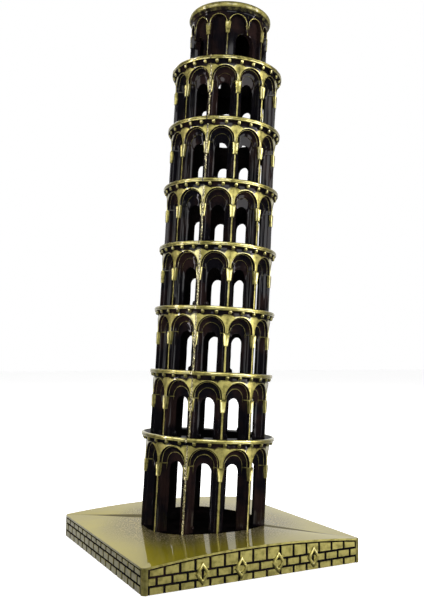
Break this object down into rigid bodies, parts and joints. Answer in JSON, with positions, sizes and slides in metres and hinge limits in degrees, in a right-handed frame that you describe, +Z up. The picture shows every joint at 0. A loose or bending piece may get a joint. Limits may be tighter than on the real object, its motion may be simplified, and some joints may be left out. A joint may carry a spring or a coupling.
{
  "type": "miniature landmark model",
  "caption": "Leaning round bell tower with stacked open arcades and a belfry, on a square plinth with a brick pattern; a metal desk souvenir.",
  "frame": {"origin": "centre of the pad's underside, where the plinth's centre line meets the table", "axes": "+Z up; the tower leans towards +X; the ornamented side of the plinth faces -Y"},
  "size_m": [0.095, 0.0955, 0.2396],
  "materials": {
    "antique_brass_tower": "lacquered",
    "antique_brass_base": "lacquered",
    "solder": "rough",
    "pin_steel": "ground",
    "pad_felt": "felt",
    "screw_steel": "zinc plated",
    "washer_steel": "zinc plated"
  },
  "bodies": {
    "root": {"tower_shell_front": "antique_brass_tower", "tower_shell_back": "antique_brass_tower", "solder_seam_left": "solder", "solder_seam_right": "solder", "dowel_pins": "pin_steel", "base_plinth": "antique_brass_base", "base_pad": "pad_felt", "base_screws": "screw_steel", "screw_washers": "washer_steel"}
  },
  "joints": []
}
